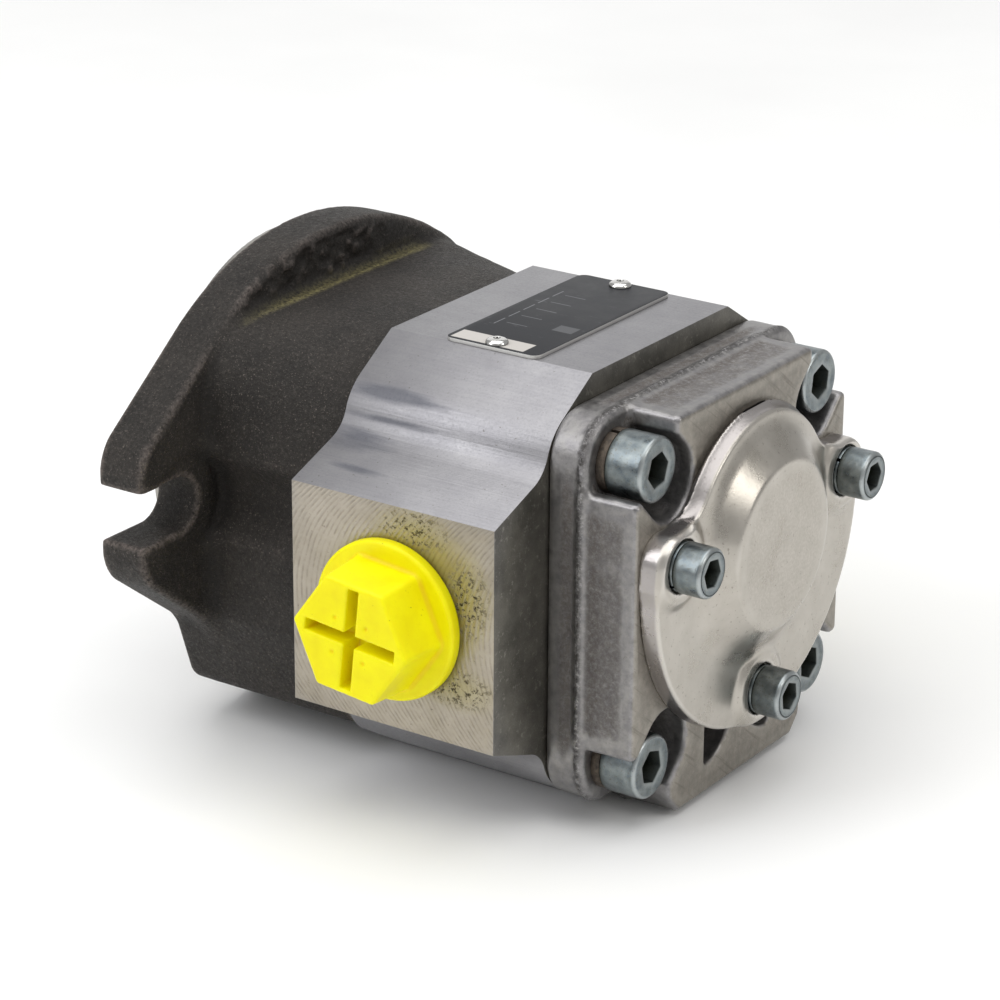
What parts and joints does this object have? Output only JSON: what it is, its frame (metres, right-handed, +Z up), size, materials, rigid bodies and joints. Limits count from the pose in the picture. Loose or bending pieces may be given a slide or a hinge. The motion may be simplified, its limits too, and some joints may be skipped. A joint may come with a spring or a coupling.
{
  "type": "hydraulic gear pump",
  "caption": "Internal gear pump with an oval two-bolt mounting flange, keyed drive shaft, side ports closed by yellow transit plugs and a domed rear cap.",
  "frame": {"origin": "where the shaft axis meets the mounting flange's face", "axes": "+X along the shaft away from the drive end, +Z up to the name plate, -Y to the suction port"},
  "size_m": [0.1514, 0.1422, 0.0981],
  "materials": {
    "cast_iron": "rough_cast",
    "extruded_aluminium": "extruded_mill_finish",
    "diecast_aluminium": "die_cast",
    "cap_aluminium": "satin_turned",
    "zinc_plated_steel": "zinc_plated",
    "spring_steel": "phosphated_worn",
    "hardened_steel": "ground",
    "bearing_bronze": "machined",
    "side_plate_brass": "lapped",
    "seal_rubber": "nitrile",
    "yellow_polyethylene": "moulded",
    "plate_black": "anodised_print",
    "rivet_steel": "nickel_plated"
  },
  "bodies": {
    "pump_housing": {"front_housing": "cast_iron", "port_body": "extruded_aluminium", "rear_cover": "diecast_aluminium", "end_cap": "cap_aluminium", "corner_screws": "zinc_plated_steel", "corner_lock_washers": "spring_steel", "cap_screws": "zinc_plated_steel", "cap_lock_washers": "zinc_plated_steel", "ring_liner": "bearing_bronze", "filler_inner": "bearing_bronze", "filler_outer": "bearing_bronze", "filler_rollers": "hardened_steel", "filler_springs": "spring_steel", "filler_stop_pin": "hardened_steel", "front_side_plate": "side_plate_brass", "rear_side_plate": "side_plate_brass", "front_plate_seal": "seal_rubber", "rear_plate_seal": "seal_rubber", "front_bush": "bearing_bronze", "rear_bush": "bearing_bronze", "shaft_seal": "seal_rubber", "seal_spring": "spring_steel", "seal_retaining_ring": "spring_steel", "front_body_seal": "seal_rubber", "rear_body_seal": "seal_rubber", "cap_seal": "seal_rubber", "front_dowels": "hardened_steel", "rear_dowels": "hardened_steel", "name_plate": "plate_black", "plate_rivets": "rivet_steel"},
    "rotor": {"pinion_shaft": "hardened_steel", "shaft_key": "hardened_steel"},
    "ring": {"ring_gear": "hardened_steel"},
    "suction_stopper": {"suction_plug": "yellow_polyethylene"},
    "pressure_stopper": {"pressure_plug": "yellow_polyethylene"}
  },
  "joints": [
    {"name": "pinion_spin", "type": "hinge", "parent": "pump_housing", "child": "rotor", "pos_m": [0, 0, 0], "axis": [1, 0, 0], "continuous": true},
    {"name": "ring_spin", "type": "hinge", "parent": "pump_housing", "child": "ring", "pos_m": [0, 0, -0.0091], "axis": [1, 0, 0], "continuous": true},
    {"name": "suction_plug_out", "type": "slide", "parent": "pump_housing", "child": "suction_stopper", "axis": [0, -1, 0], "range_m": [0, 0.012]},
    {"name": "pressure_plug_out", "type": "slide", "parent": "pump_housing", "child": "pressure_stopper", "axis": [0, 1, 0], "range_m": [0, 0.012]}
  ],
  "couplings": [
    {"joint": "ring_spin", "follows": "pinion_spin", "ratio": 0.65}
  ]
}
